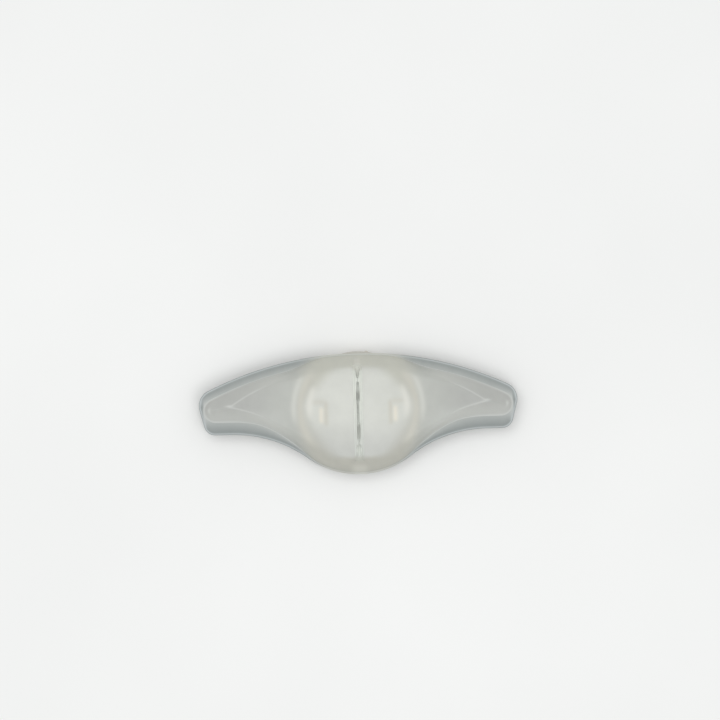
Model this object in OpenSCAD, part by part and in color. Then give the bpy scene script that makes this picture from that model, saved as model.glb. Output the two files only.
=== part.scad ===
// Spoke wheel light: a frosted wing shell over a round, rechargeable light engine.
// It lies on its back. X runs along the wings, Y from belly to crown, Z out through the dome.
// Sizes are in millimetres, and angles in degrees.

/* [Outline] */
// Half of the overall width, from the dome's middle to a wing's tip
half_span = 67.4; // [64:0.1:74]
// Height of the top edge over the dome's middle
crown_h = 23.2; // [22.4:0.1:26]
// Radius of the long top edge
crown_r = 146; // [130:1:180]
// Depth of the bottom edge under the dome's middle
belly_depth = 28; // [27:0.1:30]
// Radius of the round bottom edge
belly_r = 36.3; // [34:0.1:39]
// Radius of the hollow under each wing
waist_r = 54; // [48:1:62]
// Depth of a wing's straight lower edge under the dome's middle
tip_low = 10.05; // [9.2:0.05:11.5]
// Radius of a wing tip's upper corner
tip_corner_r = 7; // [5.5:0.1:8.5]
// Radius of a wing tip's lower corner
tip_heel_r = 4.8; // [3.5:0.1:5.5]
// Slant of a wing's end
tip_slant = 14.6; // [9:0.2:19]

/* [Shell] */
// Wall of the front shell, and thickness of its flange
shell_wall = 1.3; // [1:0.05:1.8]
// Thickness of the back plate
plate_t = 1.2; // [0.9:0.05:1.8]
// Width of the flange over the dome
flange_mid = 0.7; // [0.65:0.05:1.4]
// Width of the flange along a wing's upper edge
flange_wing_top = 3.9; // [2.5:0.1:5]
// Width of the flange along a wing's lower edge
flange_wing_low = 5.5; // [4:0.1:6.5]
// Width of the flange at a wing's tip
flange_tip = 2.1; // [1.4:0.05:3]
// Radius at which the dome meets the wing facets
dome_r = 25; // [24:0.1:28]
// Height of the dome's crest over the flange
dome_rise = 11.1; // [10.4:0.1:13]
// Ball radius of the dome's top
dome_ball_r = 54; // [50:0.5:70]
// Width of the dome's rounded edge
dome_edge = 3.2; // [2.8:0.1:3.8]
// Distance of a wing facet's point from the dome's middle
apex_x = 53.7; // [46:0.1:57]
// Height of a wing facet's point over the flange
apex_h = 3; // [2:0.1:4]
// Height of the locating bead on the back plate
bead_h = 0.5; // [0.3:0.05:0.8]
// Width of the locating bead
bead_w = 0.8; // [0.5:0.05:1]
// Depth of the spoke's path where it runs off the dome
path_depth = 0.2; // [0.1:0.05:0.5]

/* [Spoke channel] */
// Bore of the channel, for a 2 mm spoke
spoke_bore_d = 2.2; // [1.8:0.05:2.6]
// Width of the slit that the spoke snaps through
slit_w = 1.5; // [1.1:0.05:1.7]
// Gap left where the soft lips nearly touch
lip_gap = 0.2; // [0.1:0.05:0.4]
// Wall of the soft channel
grip_wall = 0.9; // [0.7:0.05:1.1]
// Depth of the bore's axis under the dome's crest
bore_depth = 3.35; // [3:0.05:3.7]
// Height of the soft lips over the dome
lip_h = 0.15; // [0.1:0.05:0.6]
// Width of the rib along each lip's outer edge
rib_w = 0.6; // [0.4:0.05:0.8]
// Height of the ribs over the lips' inner part
rib_h = 0.35; // [0.2:0.05:0.5]

/* [Light engine] */
// Radius of the rear cup
cup_r = 24; // [23.8:0.05:25]
// Depth of the cup, from its back to the back plate
cup_depth = 5.4; // [5.3:0.05:6.4]
// Thickness of the cup's floor
cup_floor = 1.4; // [1.1:0.05:1.5]
// Wall of the cup
cup_wall = 2.2; // [1.9:0.05:2.3]
// Round edge between the cup's floor and wall
cup_edge_r = 1.6; // [0.8:0.1:1.8]
// Step from the cup's wall in to the round edge of the white light core
core_in = 2.4; // [2.1:0.1:3]
// Height of the core's flattened top over the dome's middle
core_top = 17.3; // [16.5:0.1:18.5]
// Depth of the core's flattened bottom under the dome's middle
core_low = 20.8; // [20:0.1:21.5]
// Wall of the light core
core_wall = 1.2; // [0.9:0.05:1.4]
// Gap between the light core and the dome
core_gap = 0.7; // [0.5:0.05:1.1]
// Width of the ledge that holds the back plate
core_ledge = 1.2; // [0.9:0.05:1.3]

/* [Electronics] */
// Thickness of the main board
board_t = 0.8; // [0.6:0.05:0.9]
// Thickness of an LED board
led_board_t = 1; // [0.6:0.05:1.2]
// Length of an LED board
led_board_len = 10.6; // [9:0.1:11]
// Height of an LED board over the main board
led_board_h = 8.2; // [7.6:0.1:8.6]
// Inner face of an LED board from the middle
led_board_x = 13.4; // [13.2:0.1:13.8]
// Middle of the LEDs under the dome's middle
led_drop = 2.6; // [2:0.1:3]
// Side of a square LED package
led_size = 5; // [3.5:0.1:5.2]
// Thickness of an LED package
led_t = 1.6; // [1.2:0.05:2]
// Length of the battery cell
cell_len = 25; // [22:0.5:26]
// Width of the battery cell
cell_w = 20; // [16:0.5:20.5]
// Thickness of the battery cell
cell_t = 4; // [3:0.1:4.6]
// Thickness of the tape under the cell
tape_t = 0.3; // [0.2:0.05:0.5]
// Radius of a battery lead
lead_r = 0.45; // [0.35:0.05:0.6]

/* [Button] */
// Radius of the push button
button_r = 7; // [5.5:0.1:7.4]
// Recess of the button in the cup's back
button_recess = 0.35; // [0.2:0.05:0.6]
// Travel of the button
button_travel = 0.3; // [0.2:0.05:0.35]
// Middle of the button under the dome's middle
button_drop = 3; // [2:0.1:4]
// Side of the square switch body
switch_size = 5.2; // [4.4:0.1:6]
// Height of the switch body
switch_h = 1.5; // [1.4:0.05:1.55]

/* [Charging port] */
// Width of the charging socket
socket_w = 7.5; // [7:0.05:7.9]
// Height of the charging socket
socket_h = 2.6; // [2.4:0.05:2.65]
// Depth of the charging socket
socket_len = 5; // [4.5:0.1:5.6]
// Half of the width of the port's pocket
pocket_half = 6.2; // [5.8:0.1:6.6]
// Depth of the pocket under the cup's round wall, at the middle
pocket_depth = 1.5; // [1.3:0.05:1.6]
// Radius of the flap's hinge bead
bead_r = 0.55; // [0.45:0.05:0.6]

/* [Fasteners] */
// Radius of a screw's shank
screw_r = 0.9; // [0.7:0.05:1]
// Radius of a screw's head
screw_head_r = 1.8; // [1.5:0.05:1.9]
// Length of a screw's shank
screw_len = 8; // [6:0.1:8.4]

/* [Hidden] */
$fn = 64;

// Clearances and small fixed sizes
snug = 0.05;
fit = 0.1;
loose = 0.2;
gap = 0.5;
eps = 0.01;
far = 200;

// Levels, from the back of the cup to the dome's crest
plate_z = cup_depth;
seam_z = plate_z + plate_t;
flange_z = seam_z + shell_wall;
crest_z = flange_z + dome_rise;
ball_z = crest_z - dome_ball_r;

// The middle of the dome stands off the origin, which is the middle of the part's box
middle_y = (belly_depth - max(cup_r, crown_h)) / 2;

// Helpers
function unit(p) = p / norm(p);
function mix(a, b, t) = a + (b - a) * t;
function ease(a, b, x) = let (t = min(1, max(0, (x - a) / (b - a)))) t * t * (3 - 2 * t);
function soft_min(a, b, k) = let (t = max(0, k - abs(a - b)) / k) min(a, b) - k * t * t / 4;
function soft_max(a, b, k) = -soft_min(-a, -b, k);
function side_of(a, b, p) = (b.x - a.x) * (p.y - a.y) - (b.y - a.y) * (p.x - a.x);
function root(x) = sqrt(max(0, x));

// The outer edge is a chain of tangent arcs, given here by their middles for the right wing
crown_c = [0, crown_h - crown_r];
belly_c = [0, belly_r - belly_depth];
waist_y = -tip_low - waist_r;
waist_c = [sqrt(pow(belly_r + waist_r, 2) - pow(belly_c.y - waist_y, 2)), waist_y];
corner_x = half_span - tip_corner_r;
corner_c = [corner_x, crown_c.y + sqrt(pow(crown_r - tip_corner_r, 2) - pow(corner_x, 2))];
end_n = [cos(tip_slant), -sin(tip_slant)];
end_reach = end_n * corner_c + tip_corner_r;
heel_y = tip_heel_r - tip_low;
heel_c = [(end_reach - tip_heel_r - end_n.y * heel_y) / end_n.x, heel_y];
belly_to_waist = unit(waist_c - belly_c);

// Upper and lower edge at a distance x from the middle
function edge_top(x) =
    x <= corner_x + tip_corner_r * unit(corner_c - crown_c).x
    ? crown_c.y + sqrt(pow(crown_r, 2) - x * x)
    : corner_c.y + root(pow(tip_corner_r, 2) - pow(x - corner_x, 2));
function edge_low(x) =
    x <= belly_r * belly_to_waist.x ? belly_c.y - sqrt(pow(belly_r, 2) - x * x)
    : x <= waist_c.x ? waist_c.y + sqrt(pow(waist_r, 2) - pow(x - waist_c.x, 2))
    : x <= heel_c.x ? -tip_low
    : x <= heel_c.x + tip_heel_r * end_n.x ? heel_c.y - root(pow(tip_heel_r, 2) - pow(x - heel_c.x, 2))
    : x <= corner_x + tip_corner_r * end_n.x ? (end_reach - end_n.x * x) / end_n.y
    : corner_c.y - root(pow(tip_corner_r, 2) - pow(x - corner_x, 2));

// The flange widens from the dome to the wings, over these distances from the middle
top_fade = [12, 32];
low_fade = [16, 46];
function flange_top(x) = mix(flange_mid, flange_wing_top, ease(top_fade[0], top_fade[1], x));
function flange_low(x) = mix(flange_mid, flange_wing_low, ease(low_fade[0], low_fade[1], x));

// The raised body ends in a round nose that touches its upper edge, lower edge and the tip's flange
nose_reach = half_span - flange_tip;
nose_rim_r = crown_r - flange_wing_top;
nose_low = flange_wing_low - tip_low;
nose_drop = nose_low - crown_c.y;
nose_sum = nose_drop - nose_reach + nose_rim_r;
nose_r = sqrt(pow(nose_sum, 2) - pow(nose_reach, 2) - pow(nose_drop, 2) + pow(nose_rim_r, 2)) - nose_sum;
nose_c = [nose_reach - nose_r, nose_low + nose_r];

// Upper and lower edge of the raised body at a distance x from the middle, drawn in by inset
function body_top(x, inset) =
    x <= nose_c.x + (nose_r - inset) * unit(nose_c - crown_c).x
    ? crown_c.y + sqrt(pow(crown_r - flange_top(x) - inset, 2) - x * x)
    : nose_c.y + root(pow(nose_r - inset, 2) - pow(x - nose_c.x, 2));
function body_low(x, inset) =
    let (in = flange_low(x) + inset)
    x <= (belly_r - in) * belly_to_waist.x ? belly_c.y - sqrt(pow(belly_r - in, 2) - x * x)
    : x <= waist_c.x ? waist_c.y + sqrt(pow(waist_r + in, 2) - pow(x - waist_c.x, 2))
    : x <= nose_c.x ? in - tip_low
    : nose_c.y - root(pow(nose_r - inset, 2) - pow(x - nose_c.x, 2));

// Distance of a point inside the raised body from the body's edge
ridge_soft = 0.6;
function below_crown(p) = crown_r - norm(p - crown_c) - flange_top(p.x);
function above_low(p) =
    (p.x >= waist_c.x ? p.y + tip_low
        : side_of(belly_c, waist_c, p) < 0 ? belly_r - norm(p - belly_c)
        : norm(p - waist_c) - waist_r) - flange_low(p.x);
function body_depth(p) =
    p.x > nose_c.x && side_of(crown_c, nose_c, p) < 0
    ? nose_r - norm(p - nose_c)
    : soft_min(below_crown(p), above_low(p), ridge_soft);

// Each wing is a hipped roof: its sides slope up to a flat facet that climbs from its point to the dome
dome_edge_h = dome_rise - dome_ball_r + sqrt(pow(dome_ball_r, 2) - pow(dome_r, 2));
hip_run = body_depth([apex_x, (body_top(apex_x, 0) + body_low(apex_x, 0)) / 2]);
function wing_t(x) = min(1, max(0, (x - dome_r) / (apex_x - dome_r)));
function facet_h(x) = mix(dome_edge_h, apex_h, wing_t(x));
hip_blend = 2;
function side_run(x) = soft_max(dome_edge, hip_run * wing_t(x), hip_blend);
function ball_h(p) = dome_rise - dome_ball_r + root(pow(dome_ball_r, 2) - p * p);

// Height of the raised body over the flange, and of the space inside it over the seam
hip_soft = 0.7;
dome_soft = 4;
ring_soft = 1.2;
function body_h(p, inset) =
    let (
        side = facet_h(p.x) / side_run(p.x) * max(0, body_depth(p) - inset),
        top = soft_max(facet_h(p.x), ball_h(p), ring_soft),
        soft = mix(dome_soft, hip_soft, ease(dome_r - 4, dome_r + 14, p.x))
    )
    max(0, soft_min(side, top, soft));

// The dome has a trough for the spoke channel, and a shallow path for the spoke at both ends of it
bore_r = spoke_bore_d / 2;
bore_z = crest_z - bore_depth;
grip_half = bore_r + grip_wall;
grip_z = bore_z - bore_r - grip_wall;
trough_half = grip_half + snug;
trough_h = grip_z - flange_z;
function shell_h(p, inset) =
    p.x <= trough_half + inset
    ? max(0, min(body_h(p, inset) - path_depth, trough_h))
    : body_h(p, inset);

// Stations of the loft along X: trough edges, dome, wings and tips, where they crowd together
dome_steps = 12;
wing_steps = 12;
tip_steps = 11;
draft = 0.1;
blunt = 0.03;
function half_stations(reach, groove) = concat(
    [groove],
    [for (i = [0:dome_steps - 1]) mix(groove + draft, dome_r, i / dome_steps)],
    [for (i = [0:wing_steps - 1]) mix(dome_r, apex_x, i / wing_steps)],
    [for (i = [0:tip_steps]) mix(apex_x, reach - blunt, sin(90 * i / tip_steps))]
);
function stations(reach, groove) =
    let (half = half_stations(reach, groove), last = len(half) - 1)
    concat([for (i = [last:-1:0]) -half[i]], half);

// Points across the raised body at one station, with a row on each hip and more rows near the hips
side_steps = 4;
top_steps = 16;
edge_keep = 0.15;
hip_keep = 0.35;
hip_most = 0.94;
function crowd(t) = (t + (1 - cos(180 * t)) / 2) / 2;
function row_low(x, inset, keep) =
    inset > 0 ? body_low(x, inset)
    : min(max(body_low(x, 0), edge_low(x) + keep), edge_top(x) - 3 * keep);
function row_top(x, inset, keep) =
    inset > 0 ? body_top(x, inset)
    : max(min(body_top(x, 0), edge_top(x) - keep), row_low(x, 0, keep) + 2 * keep);
function across(x, inset) =
    let (
        keep = edge_keep * min(4, edge_top(x) - edge_low(x)),
        low = row_low(x, inset, keep),
        top = row_top(x, inset, keep),
        middle = (low + top) / 2,
        spare = (top - low) / 2,
        low_in = (middle - body_low(x, inset + side_run(x))) / spare,
        top_in = (body_top(x, inset + side_run(x)) - middle) / spare,
        low_hip = middle - spare * min(hip_most, max(hip_keep, low_in)),
        top_hip = middle + spare * min(hip_most, max(hip_keep, top_in))
    )
    concat(
        [for (i = [0:side_steps - 1]) mix(middle - spare, low_hip, i / side_steps)],
        [for (i = [0:top_steps]) mix(low_hip, top_hip, crowd(i / top_steps))],
        [for (i = [side_steps - 1:-1:0]) mix(middle + spare, top_hip, i / side_steps)]
    );

outer_x = stations(half_span, trough_half);
inner_x = stations(nose_reach - shell_wall, trough_half + shell_wall);
rows = len(outer_x);
inner_cols = 2 * side_steps + top_steps + 1;
outer_cols = inner_cols + 2;

function outer_row(x) =
    let (a = abs(x))
    [for (y = concat([edge_low(a)], across(a, 0), [edge_top(a)])) [x, y, flange_z + shell_h([a, y], 0)]];
function inner_row(x, is_end) =
    let (a = abs(x), ys = across(a, shell_wall), last = len(ys) - 1)
    [for (j = [0:last]) let (on_edge = is_end || j == 0 || j == last)
        [x, ys[j], on_edge ? seam_z : seam_z + shell_h([a, ys[j]], shell_wall)]];
function joined(lists) = [for (list = lists) each list];

// Outline of the flange, counter-clockwise, on the loft's stations
edge_points = concat(
    [for (x = outer_x) [x, edge_low(abs(x))]],
    [for (i = [rows - 1:-1:0]) [outer_x[i], edge_top(abs(outer_x[i]))]]
);
function body_points(inset) =
    let (xs = stations(nose_reach - inset, trough_half), last = len(xs) - 1)
    concat(
        [for (x = xs) [x, body_low(abs(x), inset)]],
        [for (i = [last:-1:0]) [xs[i], body_top(abs(xs[i]), inset)]]
    );

module seated() {
    translate([0, middle_y, 0])
        children();
}

// Frosted front moulding: one loft for the outside, one for the space inside, joined at the seam
module front_shell() {
    outer_start = 0;
    inner_start = rows * outer_cols;
    seam_start = inner_start + rows * inner_cols;
    points = concat(
        joined([for (x = outer_x) outer_row(x)]),
        joined([for (i = [0:rows - 1]) inner_row(inner_x[i], i == 0 || i == rows - 1)]),
        [for (x = outer_x) [x, edge_low(abs(x)), seam_z]],
        [for (x = outer_x) [x, edge_top(abs(x)), seam_z]]
    );
    function o(i, j) = outer_start + i * outer_cols + j;
    function n(i, j) = inner_start + i * inner_cols + j;
    function low(i) = seam_start + i;
    function top(i) = seam_start + rows + i;
    function quad(a, b, c, d) = [[a, b, c], [a, c, d]];
    end = rows - 1;
    oj = outer_cols - 1;
    nj = inner_cols - 1;
    faces = concat(
        joined([for (i = [0:end - 1], j = [0:oj - 1])
            quad(o(i, j), o(i, j + 1), o(i + 1, j + 1), o(i + 1, j))]),
        joined([for (i = [0:end - 1], j = [0:nj - 1])
            quad(n(i, j), n(i + 1, j), n(i + 1, j + 1), n(i, j + 1))]),
        joined([for (i = [0:end - 1]) quad(low(i), low(i + 1), n(i + 1, 0), n(i, 0))]),
        joined([for (i = [0:end - 1]) quad(n(i, nj), n(i + 1, nj), top(i + 1), top(i))]),
        joined([for (i = [0:end - 1]) quad(o(i, 0), o(i + 1, 0), low(i + 1), low(i))]),
        joined([for (i = [0:end - 1]) quad(o(i + 1, oj), o(i, oj), top(i), top(i + 1))]),
        [for (j = [0:nj - 1]) [low(0), n(0, j), n(0, j + 1)]],
        [[low(0), n(0, nj), top(0)], [low(end), top(end), n(end, nj)]],
        [for (j = [0:nj - 1]) [low(end), n(end, j + 1), n(end, j)]],
        [for (j = [0:oj - 1]) [low(0), o(0, j + 1), o(0, j)]],
        [[low(0), top(0), o(0, oj)], [low(end), o(end, oj), top(end)]],
        [for (j = [0:oj - 1]) [low(end), o(end, j), o(end, j + 1)]]
    );
    color([0.74, 0.76, 0.75])
        seated()
            polyhedron(points, faces);
}

// Outline of the light core, drawn in by inset: a circle with its top cut along the crown and a flat bottom
core_r = cup_r - core_in;
core_crown_r = crown_r - crown_h + core_top;

module core_outline(inset) {
    intersection() {
        circle(core_r - inset);
        translate(crown_c)
            circle(core_crown_r - inset);
        translate([-far / 2, inset - core_low])
            square(far);
    }
}

// Frosted plate that closes the wings from behind, with a bead that finds the shell's inside
bead_in = 1.4;

module back_plate() {
    color([0.70, 0.72, 0.71])
        seated()
            difference() {
                union() {
                    translate([0, 0, plate_z])
                        linear_extrude(plate_t)
                            polygon(edge_points);
                    translate([0, 0, seam_z])
                        linear_extrude(bead_h)
                            difference() {
                                polygon(body_points(shell_wall + bead_in));
                                polygon(body_points(shell_wall + bead_in + bead_w));
                            }
                }
                translate([0, 0, plate_z - 1])
                    linear_extrude(plate_t + bead_h + 2)
                        core_outline(core_ledge - fit);
            }
}

// Soft channel for the spoke: a bored bar along Y with a rib on each side, trimmed to the dome's own curve
// and slit from the front. Each row of the slit has its height and its half widths to the left and right, as
// shares of the full half width. The lips nearly touch at a snap near the top, and along the lower end
lips_shut = lip_gap / slit_w;
slit_rows = [
    [far, 1, 1], [14.5, 1, 1], [12.7, 0.6, 0.6], [12.3, lips_shut, lips_shut], [11.3, lips_shut, lips_shut],
    [10.8, 0.7, 0.7], [7, 1, 1], [3.2, 1, 1], [2.6, 0.9, 0.6], [-5.8, 0.9, 0.6], [-6.4, 1, 1],
    [-12.5, 1, 1], [-15.2, lips_shut, lips_shut], [-far, lips_shut, lips_shut]
];
grip_steps = 40;
bed_steps = 37;
end_halvings = 20;
function trough_end(inside, outside, tries) =
    let (y = (inside + outside) / 2)
    tries == 0 ? inside
    : body_h([0, y], 0) - path_depth < trough_h ? trough_end(inside, y, tries - 1)
    : trough_end(y, outside, tries - 1);
grip_low = trough_end(0, body_low(0, 0), end_halvings);
grip_top = trough_end(0, body_top(0, 0), end_halvings);

module bored_bar() {
    difference() {
        translate([-grip_half, grip_z])
            square([2 * grip_half, crest_z + lip_h - grip_z]);
        translate([0, bore_z])
            circle(bore_r);
    }
}

module slit_plan() {
    last = len(slit_rows) - 1;
    polygon(concat(
        [for (row = slit_rows) [-row[1] * slit_w / 2, row[0]]],
        [for (i = [last:-1:0]) [slit_rows[i][2] * slit_w / 2, slit_rows[i][0]]]
    ));
}

function grip_curve(steps, over_dome) =
    [for (i = [0:steps])
        let (y = mix(grip_low, grip_top, i / steps))
        [y, flange_z + body_h([trough_half, y], 0) + over_dome]];

module across_grip(w) {
    rotate([90, 0, 90])
        linear_extrude(w, center = true)
            children();
}

module grip_side_view() {
    polygon(concat(
        [[grip_low, grip_z]],
        grip_curve(grip_steps, lip_h),
        [[grip_top, grip_z]]
    ));
}

module between_ribs_view() {
    curve = grip_curve(bed_steps, lip_h - rib_h);
    polygon(concat(
        [[grip_low - 1, crest_z + 1], [grip_low - 1, curve[0].y]],
        curve,
        [[grip_top + 1, curve[bed_steps].y], [grip_top + 1, crest_z + 1]]
    ));
}

module spoke_grip() {
    color([0.86, 0.87, 0.85])
        seated()
            difference() {
                intersection() {
                    rotate([90, 0, 0])
                        linear_extrude(far, center = true)
                            bored_bar();
                    across_grip(2 * grip_half)
                        grip_side_view();
                }
                across_grip(2 * (grip_half - rib_w))
                    between_ribs_view();
                translate([0, 0, bore_z])
                    linear_extrude(far)
                        slit_plan();
            }
}

// Levels of the board, and places of the four screws that clamp cup, board, plate and core
board_sunk = 0.3;
board_play = 0.3;
board_back_z = cup_depth - board_sunk - board_t;
board_z = board_back_z + board_t;
board_r = cup_r - cup_wall - board_play;
boss_at = [[13, 9.5], [-13, 9.5], [12.6, -13.2], [-12.6, -13.2]];
cup_boss_wall = 0.8;
core_boss_wall = 1.2;
cup_boss_r = screw_head_r + cup_boss_wall;
core_boss_r = screw_r + core_boss_wall;
screw_seat_z = cup_floor + loose;
screw_tip_room = 0.4;

// Pockets of the light core
core_ball_r = dome_ball_r - shell_wall - core_gap;
core_trough_half = trough_half + shell_wall + gap;
core_trough_z = flange_z + trough_h - shell_wall - gap;
led_y = -led_drop;
pocket_spare = 1.2;
pocket_len = led_board_len + pocket_spare;
pocket_shelf_z = seam_z + loose;
led_z = pocket_shelf_z + loose;

// The core's rim slopes down under the dome's rounded edge, more so along its flattened top
rim_slope = 1.5;
rim_reach = 10;
roof_share = 1.6;
core_corner = [sqrt(pow(core_r, 2) - pow(core_top, 2)), core_top];
core_crown_z = seam_z + body_h(core_corner, shell_wall) - core_gap;
core_round_z = seam_z + body_h([0, -core_r], shell_wall) - core_gap;

module rim_cut(r, z) {
    rotate_extrude($fn = 128)
        polygon([[r - rim_reach / rim_slope, z + rim_reach], [r, z], [r + 1, z - 1], [r + 1, z + rim_reach]]);
}

module core_rim(drop) {
    rim_cut(core_r, core_round_z - drop);
    translate(crown_c)
        rim_cut(core_crown_r, core_crown_z - drop);
}

module ball(r) {
    translate([0, 0, ball_z])
        sphere(r, $fn = 96);
}

module bar(x, y, z) {
    translate([x[0], y[0], z[0]])
        cube([x[1] - x[0], y[1] - y[0], z[1] - z[0]]);
}

// What stays solid round the trough, the LED pockets and the screws inside the hollow core
module core_inner_walls() {
    bar([-core_trough_half - core_wall, core_trough_half + core_wall], [-far, far],
        [core_trough_z - core_wall, far]);
    for (s = [0, 1])
        mirror([s, 0, 0])
            bar([led_board_x - loose - core_wall, far],
                [led_y - pocket_len / 2 - core_wall, led_y + pocket_len / 2 + core_wall], [0, far]);
    for (p = boss_at)
        translate([p.x, p.y, 0])
            cylinder(r = core_boss_r, h = crest_z);
}

module light_core() {
    color([0.93, 0.93, 0.90])
        seated()
            difference() {
                intersection() {
                    union() {
                        translate([0, 0, seam_z])
                            linear_extrude(dome_rise + shell_wall)
                                core_outline(0);
                        translate([0, 0, board_z])
                            linear_extrude(seam_z - board_z)
                                core_outline(core_ledge);
                    }
                    ball(core_ball_r);
                }
                core_rim(0);
                difference() {
                    intersection() {
                        linear_extrude(crest_z)
                            core_outline(core_ledge + core_wall);
                        ball(core_ball_r - core_wall);
                    }
                    core_rim(roof_share * core_wall);
                    core_inner_walls();
                }
                bar([-core_trough_half, core_trough_half], [-far, far], [core_trough_z, far]);
                for (s = [0, 1])
                    mirror([s, 0, 0]) {
                        bar([led_board_x - loose, led_board_x + led_board_t + loose],
                            [led_y - pocket_len / 2, led_y + pocket_len / 2], [0, far]);
                        bar([led_board_x, far],
                            [led_y - pocket_len / 2, led_y + pocket_len / 2], [pocket_shelf_z, far]);
                    }
                for (p = boss_at)
                    translate([p.x, p.y, 0])
                        cylinder(r = screw_r + snug, h = screw_seat_z + screw_len + screw_tip_room);
            }
}

// Pocket of the charging port in the cup's wall, and the flap's hinge at its left end
pocket_y = cup_r - pocket_depth;
pocket_z = [0.7, 4.3];
hinge_out = 0.7;
hinge_in = 0.6;
hinge_room = 1.6;
hinge_relief = 155;
hinge_at = [-pocket_half - hinge_out, pocket_y - hinge_in];
socket_back_z = board_back_z - socket_h;
socket_y = pocket_y - fit;

module port_pocket() {
    translate([0, 0, pocket_z[0]])
        linear_extrude(pocket_z[1] - pocket_z[0]) {
            polygon([
                hinge_at,
                [-pocket_half + hinge_room, hinge_at.y],
                [-pocket_half + hinge_room, pocket_y],
                [pocket_half, pocket_y],
                [pocket_half, cup_r + 1],
                hinge_at + (cup_r + 1 - hinge_at.y) * [1 / tan(hinge_relief), 1]
            ]);
            translate(hinge_at)
                circle(bead_r + snug);
        }
}

// Rear cup: a revolved tub with screw bosses, button hole, seal groove and charging port
gasket_w = 0.5;
gasket_h = 0.6;
gasket_in = 0.55;
gasket_r = cup_r - cup_wall + gasket_in;

module cup_section() {
    difference() {
        union() {
            square([cup_r - cup_edge_r, cup_depth]);
            translate([0, cup_edge_r])
                square([cup_r, cup_depth - cup_edge_r]);
            translate([cup_r - cup_edge_r, cup_edge_r])
                intersection() {
                    circle(cup_edge_r);
                    translate([0, -cup_edge_r])
                        square(cup_edge_r);
                }
        }
        translate([-eps, cup_floor])
            square([cup_r - cup_wall + eps, far]);
        translate([gasket_r - snug, cup_depth - gasket_h])
            square([gasket_w + 2 * snug, far]);
    }
}

module engine_cup() {
    color([0.80, 0.79, 0.75])
        seated()
            difference() {
                union() {
                    rotate_extrude($fn = 96)
                        cup_section();
                    for (p = boss_at)
                        translate([p.x, p.y, cup_floor - eps])
                            cylinder(r = cup_boss_r, h = board_back_z - cup_floor + eps);
                }
                for (p = boss_at)
                    translate([p.x, p.y, -1]) {
                        cylinder(r = screw_head_r + loose, h = screw_seat_z + 1);
                        cylinder(r = screw_r + loose, h = far);
                    }
                translate([0, -button_drop, -1])
                    cylinder(r = button_r + loose, h = cup_floor + 2);
                port_pocket();
                bar([-socket_w / 2 - loose, socket_w / 2 + loose], [socket_y - socket_len, pocket_y + eps],
                    [socket_back_z - fit, board_back_z + fit]);
            }
}

module cup_gasket() {
    color([0.18, 0.18, 0.18])
        seated()
            translate([0, 0, cup_depth - gasket_h])
                rotate_extrude($fn = 96)
                    translate([gasket_r, 0])
                        square([gasket_w, gasket_h]);
}

// Flap of the charging port: a curved plate with a pull nub, and a web to its hinge bead
web_len = 1.3;
web_t = 0.6;
web_root = [0.45, 0];
web_rise = [0.25, 0.45];
flap_left = hinge_at.x + web_len;
flap_back = pocket_y + fit;
flap_right = pocket_half - loose;
nub_x = 3.9;
nub_r = 0.9;

module flap_plan() {
    intersection() {
        circle(cup_r, $fn = 360);
        translate([flap_left, flap_back])
            square([flap_right - flap_left, far]);
    }
    polygon([
        hinge_at + web_root,
        [flap_left + loose, flap_back],
        [flap_left + loose, flap_back + web_t],
        hinge_at + web_rise
    ]);
    translate(hinge_at)
        circle(bead_r);
    intersection() {
        translate([nub_x, sqrt(pow(cup_r, 2) - pow(nub_x, 2)) - nub_r / 2])
            circle(nub_r);
        translate([0, flap_back + loose])
            square(far);
    }
}

module port_flap() {
    color([0.66, 0.65, 0.60])
        seated()
            translate([0, 0, pocket_z[0] + fit])
                linear_extrude(pocket_z[1] - pocket_z[0] - 2 * fit)
                    flap_plan();
}

// Round circuit board, with screw holes and slots for the tabs of the LED boards
tab_w = 5;

module main_board() {
    color([0.10, 0.32, 0.20])
        seated()
            translate([0, 0, board_back_z])
                linear_extrude(board_t)
                    difference() {
                        circle(board_r, $fn = 96);
                        for (p = boss_at)
                            translate(p)
                                circle(screw_r + loose);
                        for (s = [-1, 1])
                            translate([s * (led_board_x + led_board_t / 2), led_y])
                                square([led_board_t + 2 * snug, tab_w + 2 * snug], center = true);
                    }
}

module led_board(s) {
    color([0.72, 0.62, 0.42])
        seated()
            translate([s * (led_board_x + led_board_t / 2), led_y, 0])
                rotate([90, 0, 90])
                    linear_extrude(led_board_t, center = true) {
                        translate([-led_board_len / 2, board_z])
                            square([led_board_len, led_board_h]);
                        translate([-tab_w / 2, board_back_z])
                            square([tab_w, board_t]);
                    }
}

module left_led_board() {
    led_board(-1);
}

module right_led_board() {
    led_board(1);
}

// LED package on edge, with its round phosphor dish facing the wing
dish_depth = 0.3;
dish_share = 0.38;

module led(s) {
    face_x = led_board_x + led_board_t;
    color([0.95, 0.91, 0.72])
        seated()
            mirror([s < 0 ? 1 : 0, 0, 0])
                difference() {
                    bar([face_x, face_x + led_t], [led_y - led_size / 2, led_y + led_size / 2],
                        [led_z, led_z + led_size]);
                    translate([face_x + led_t - dish_depth, led_y, led_z + led_size / 2])
                        rotate([0, 90, 0])
                            cylinder(r = led_size * dish_share, h = 1);
                }
}

module left_led() {
    led(-1);
}

module right_led() {
    led(1);
}

// Pouch cell on its tape, with two leads that bend down to the board. Cell and leads together lie
// in the middle of the core's hollow
lead_x = 3;
lead_run = 1;
lead_bend = 1.2;
lead_over_middle = 0.4;
hollow_low = -sqrt(pow(core_r - core_ledge - core_wall, 2) - pow(cell_w / 2, 2));
hollow_top = core_top - core_ledge - core_wall;
cell_low = (hollow_low + hollow_top - cell_len - lead_run - lead_bend - lead_r) / 2;
cell_y = [cell_low, cell_low + cell_len];
cell_z = board_z + tape_t;
cell_round = 1.2;
lead_z = cell_z + cell_t / 2 + lead_over_middle;
tape_in = 2;

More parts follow.
